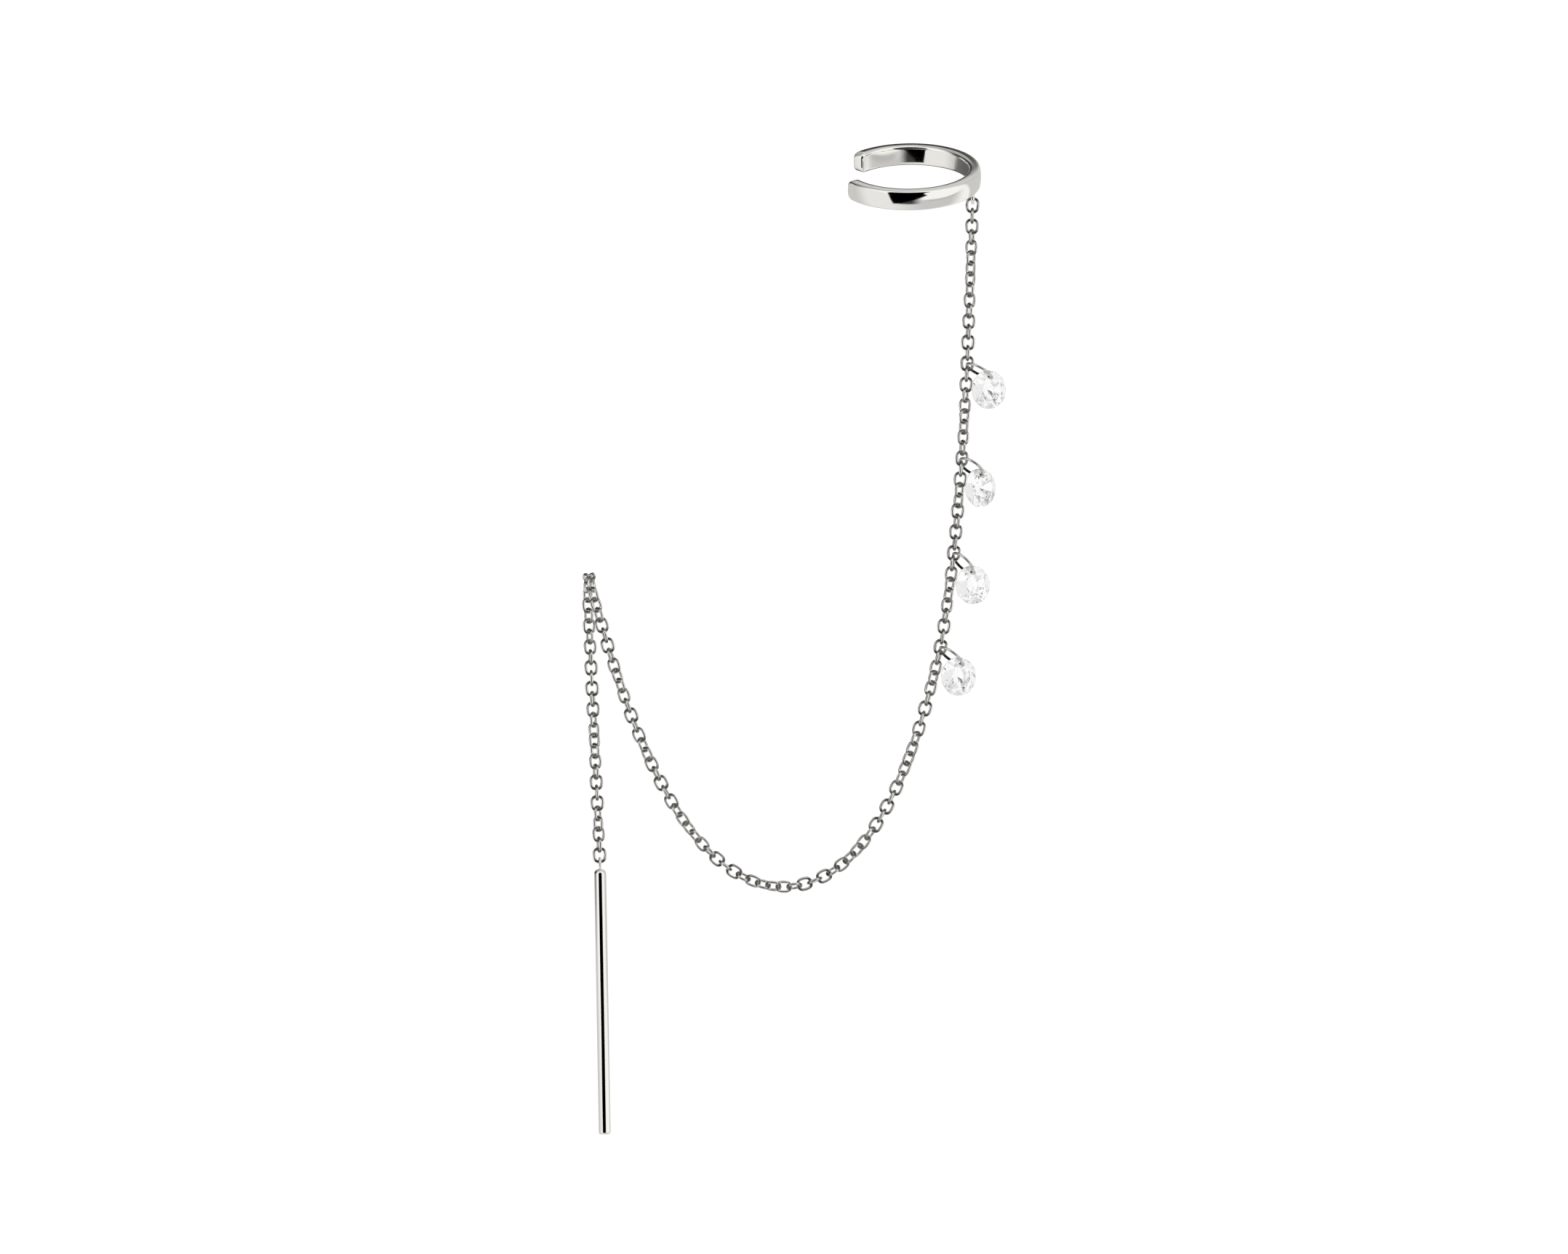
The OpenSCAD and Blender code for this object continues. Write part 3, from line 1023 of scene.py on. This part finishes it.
class EARRING_OT_stage(bpy.types.Operator):
    """Set up the pale floor, the light tent, the grey card and the camera"""

    bl_idname = "earring.stage"
    bl_label = "Studio"
    bl_options = {"REGISTER", "UNDO"}

    def floor(self):
        """A pale floor under the piece, which only the camera and soft light meet."""
        clear_selection()
        bpy.ops.mesh.primitive_plane_add(size=FLOOR_SIZE, location=(0, 0, FLOOR_LEVEL))
        floor = bpy.context.object
        floor.name = floor.data.name = "studio_floor"
        place(floor, Matrix.Identity(4))
        floor.data.materials.append(material("pale studio paper", studio_paper))
        floor.visible_glossy = False
        floor.visible_transmission = False

    def tent(self, settings):
        """A white light tent. The metal mirrors it, so each of its parts shows as a tone.

        In front there are the round window that the camera looks through, a dark slit below
        it, and the table, in shade under the slit. Behind the piece, above the line along
        the table's far edge, it is dark up to the roof, with a white board on the right.
        """
        world = bpy.context.scene.world or bpy.data.worlds.new("light tent")
        bpy.context.scene.world = world
        world.use_nodes = True
        tree = world.node_tree
        tree.nodes.clear()
        way = node(
            tree,
            "ShaderNodeSeparateXYZ",
            links={0: node(tree, "ShaderNodeTexCoord").outputs["Generated"]},
        )
        x, y, z = way.outputs
        soft = {"interpolation_type": "SMOOTHSTEP"}

        # Where a direction meets a sheet that stands one length in front of the piece
        towards = node(tree, "ShaderNodeMath", {"operation": "MULTIPLY"}, {0: y, 1: -1.0})
        depth = node(
            tree, "ShaderNodeMath", {"operation": "MAXIMUM"}, {0: towards, 1: LEAST_DEPTH}
        )
        right = node(tree, "ShaderNodeMath", {"operation": "DIVIDE"}, {0: x, 1: depth})
        high = node(tree, "ShaderNodeMath", {"operation": "DIVIDE"}, {0: z, 1: depth})
        seen = node(tree, "ShaderNodeCombineXYZ", links={0: right, 1: high})
        window = node(
            tree,
            "ShaderNodeVectorMath",
            {"operation": "DISTANCE"},
            {0: seen, 1: WINDOW_MIDDLE},
        )
        outside = node(
            tree,
            "ShaderNodeMapRange",
            soft,
            {"Value": window.outputs["Value"], **run_of("window")},
        )
        left_end = node(
            tree, "ShaderNodeMapRange", soft, {"Value": right, **run_of("slit left")}
        )
        top_edge = node(tree, "ShaderNodeMapRange", soft, {"Value": high, **run_of("slit top")})
        falling = node(
            tree,
            "ShaderNodeMath",
            {"operation": "MULTIPLY_ADD"},
            {0: high, 1: SLIT_TIP_SLOPE, 2: right},
        )
        tip_edge = node(
            tree, "ShaderNodeMapRange", soft, {"Value": falling, **run_of("slit tip")}
        )
        rising = node(
            tree,
            "ShaderNodeMath",
            {"operation": "MULTIPLY_ADD"},
            {0: right, 1: -SLIT_BOTTOM_SLOPE, 2: high},
        )
        shade_front = node(
            tree, "ShaderNodeMapRange", soft, {"Value": high, **run_of("shade front")}
        )
        shade_side = node(
            tree, "ShaderNodeMapRange", soft, {"Value": right, **run_of("shade side")}
        )
        shade = node(
            tree, "ShaderNodeMath", {"operation": "MAXIMUM"}, {0: shade_front, 1: shade_side}
        )
        low_edge = node(
            tree,
            "ShaderNodeMapRange",
            soft,
            {"Value": rising, **run_of("slit bottom"), "To Min": shade, "To Max": 0.0},
        )
        ends = node(tree, "ShaderNodeMath", {"operation": "MAXIMUM"}, {0: left_end, 1: tip_edge})
        edges = node(tree, "ShaderNodeMath", {"operation": "MAXIMUM"}, {0: top_edge, 1: low_edge})
        slit = node(tree, "ShaderNodeMath", {"operation": "MAXIMUM"}, {0: ends, 1: edges})
        bright = node(tree, "ShaderNodeMath", {"operation": "MINIMUM"}, {0: outside, 1: slit})
        opening = node(
            tree, "ShaderNodeMath", {"operation": "MAXIMUM"}, {0: bright, 1: settings.opening}
        )

        table = node(tree, "ShaderNodeMapRange", links={"Value": x, **run_of("table")})
        # The line along the table's far edge falls to the right and away from the camera
        aslant = node(
            tree, "ShaderNodeMath", {"operation": "MULTIPLY_ADD"}, {0: x, 1: LINE_SLOPE, 2: z}
        )
        edge = node(
            tree,
            "ShaderNodeMath",
            {"operation": "MULTIPLY_ADD"},
            {0: y, 1: -LINE_DEPTH, 2: aslant},
        )
        line = node(tree, "ShaderNodeMapRange", links={"Value": x, **run_of("line")})
        near = node(
            tree,
            "ShaderNodeMapRange",
            soft,
            {"Value": edge, **run_of("line near"), "To Min": table, "To Max": line},
        )
        before = node(
            tree,
            "ShaderNodeMapRange",
            soft,
            {"Value": edge, **run_of("line far"), "To Min": near, "To Max": TENT_FRONT},
        )

        foot = node(tree, "ShaderNodeMapRange", soft, {"Value": z, **run_of("foot")})
        roof_left = node(tree, "ShaderNodeMapRange", soft, {"Value": x, **run_of("roof left")})
        roof = node(
            tree,
            "ShaderNodeMapRange",
            soft,
            {"Value": z, **run_of("roof"), "To Min": 0.0, "To Max": roof_left},
        )
        dark_side = node(tree, "ShaderNodeMath", {"operation": "MAXIMUM"}, {0: foot, 1: roof})
        corner = node(tree, "ShaderNodeMath", {"operation": "SUBTRACT"}, {0: x, 1: z})
        board = node(tree, "ShaderNodeMapRange", soft, {"Value": corner, **run_of("board")})
        right_side = node(
            tree, "ShaderNodeMath", {"operation": "MAXIMUM"}, {0: dark_side, 1: board}
        )
        board_left = node(
            tree, "ShaderNodeMapRange", soft, {"Value": x, **run_of("board left")}
        )
        behind = node(tree, "ShaderNodeMix", links={0: board_left, 2: dark_side, 3: right_side})
        back = node(
            tree, "ShaderNodeMath", {"operation": "MULTIPLY_ADD"}, {0: z, 1: TURN_SLOPE, 2: y}
        )
        turned = node(tree, "ShaderNodeMapRange", soft, {"Value": back, **run_of("turn")})
        walls = node(tree, "ShaderNodeMix", links={0: turned, 2: before, 3: behind})
        tones = node(tree, "ShaderNodeMath", {"operation": "MULTIPLY"}, {0: walls, 1: opening})

        # The stones take their light through the paper behind them, so they see a paler tent
        rays = node(tree, "ShaderNodeLightPath").outputs
        through = node(
            tree,
            "ShaderNodeMath",
            {"operation": "MINIMUM"},
            {0: rays["Transmission Depth"], 1: 1.0},
        )
        lens_spot = node(
            tree, "ShaderNodeVectorMath", {"operation": "DISTANCE"}, {0: seen, 1: LENS_MIDDLE}
        )
        lens = node(
            tree,
            "ShaderNodeMapRange",
            soft,
            {"Value": lens_spot.outputs["Value"], **run_of("lens")},
        )
        shaded = node(tree, "ShaderNodeMapRange", links={"Value": x, **run_of("paper")})
        paler = node(tree, "ShaderNodeMath", {"operation": "MULTIPLY"}, {0: shaded, 1: lens})
        mirrored = node(tree, "ShaderNodeMix", links={0: through, 2: tones, 3: paler})
        # The camera and the paper see plain white
        plain = node(
            tree,
            "ShaderNodeMath",
            {"operation": "MAXIMUM"},
            {0: rays["Is Camera Ray"], 1: rays["Is Diffuse Ray"]},
        )
        strength = node(tree, "ShaderNodeMix", links={0: plain, 2: mirrored, 3: 1.0})
        glow = node(
            tree, "ShaderNodeMath", {"operation": "MULTIPLY"}, {0: strength, 1: settings.tent}
        )
        tent = node(
            tree, "ShaderNodeBackground", links={"Color": (1, 1, 1, 1), "Strength": glow}
        )
        node(tree, "ShaderNodeOutputWorld", links={"Surface": tent})

    def card(self):
        """A small grey card behind the cuff, glowing with painted light, which puts painted shade
        on the right end of its inside.
        """
        clear_selection()
        bpy.ops.mesh.primitive_plane_add(
            size=1, location=CARD_MIDDLE, rotation=(math.pi / 2, 0, 0)
        )
        card = bpy.context.object
        card.name = card.data.name = "grey_card"
        card.scale = (*CARD_SIZE, 1)
        place(card, Matrix.Identity(4))
        card.data.materials.append(material("grey card", grey_card))
        # Only mirrored rays meet it, so it is never in the picture itself
        card.visible_camera = False
        card.visible_diffuse = False
        card.visible_transmission = False
        card.visible_shadow = False

    def camera(self, settings):
        """A level camera with a long lens that leans a little, as the photograph does."""
        clear_selection()
        bpy.ops.object.camera_add()
        camera = bpy.context.object
        camera.name = "photo_camera"
        camera.data.lens = settings.lens
        camera.data.sensor_width = SENSOR
        distance = FRAME_WIDTH * settings.lens / SENSOR
        camera.data.clip_start = 0.01
        camera.data.clip_end = 20
        up = Vector((math.sin(settings.roll), 0, math.cos(settings.roll)))
        camera.matrix_world = axes(BACK.cross(up), up, -BACK, FRAME_MIDDLE - BACK * distance)
        bpy.context.scene.camera = camera

    def execute(self, context):
        settings = context.scene.earring.studio
        self.floor()
        self.tent(settings)
        self.card()
        self.camera(settings)
        context.scene.view_settings.view_transform = "Standard"
        # Light is thrown to and fro many times inside a cut stone before it leaves it
        context.scene.cycles.max_bounces = 40
        context.scene.cycles.glossy_bounces = 32
        context.scene.cycles.transmission_bounces = 32
        return {"FINISHED"}


class EARRING_PT_panel(bpy.types.Panel):
    """Lists the pieces of the earring"""

    bl_idname = "EARRING_PT_panel"
    bl_label = "Threader Earring"
    bl_space_type = "VIEW_3D"
    bl_region_type = "UI"
    bl_category = "Earring"

    def draw(self, context):
        for operator in (
            EARRING_OT_ear_cuff,
            EARRING_OT_chain,
            EARRING_OT_jump_rings,
            EARRING_OT_stones,
            EARRING_OT_threader_pin,
            EARRING_OT_stage,
        ):
            self.layout.operator(operator.bl_idname)
        settings = context.scene.earring
        for name in EarringSettings.__annotations__:
            group = getattr(settings, name)
            box = self.layout.box()
            for size in group.__annotations__:
                box.prop(group, size)


CLASSES = (
    CuffSizes,
    ChainSizes,
    DropSizes,
    PinSizes,
    Finishes,
    StudioSettings,
    EarringSettings,
    EARRING_OT_ear_cuff,
    EARRING_OT_chain,
    EARRING_OT_jump_rings,
    EARRING_OT_stones,
    EARRING_OT_threader_pin,
    EARRING_OT_stage,
    EARRING_PT_panel,
)


def register():
    for cls in CLASSES:
        bpy.utils.register_class(cls)
    bpy.types.Scene.earring = PointerProperty(type=EarringSettings)


def unregister():
    del bpy.types.Scene.earring
    for cls in reversed(CLASSES):
        bpy.utils.unregister_class(cls)


def main():
    register()
    bpy.ops.earring.ear_cuff()
    bpy.ops.earring.chain(which="drape_chain")
    bpy.ops.earring.chain(which="tail_chain")
    bpy.ops.earring.jump_rings()
    bpy.ops.earring.stones()
    bpy.ops.earring.threader_pin()
    bpy.ops.earring.stage()


if __name__ == "__main__":
    main()
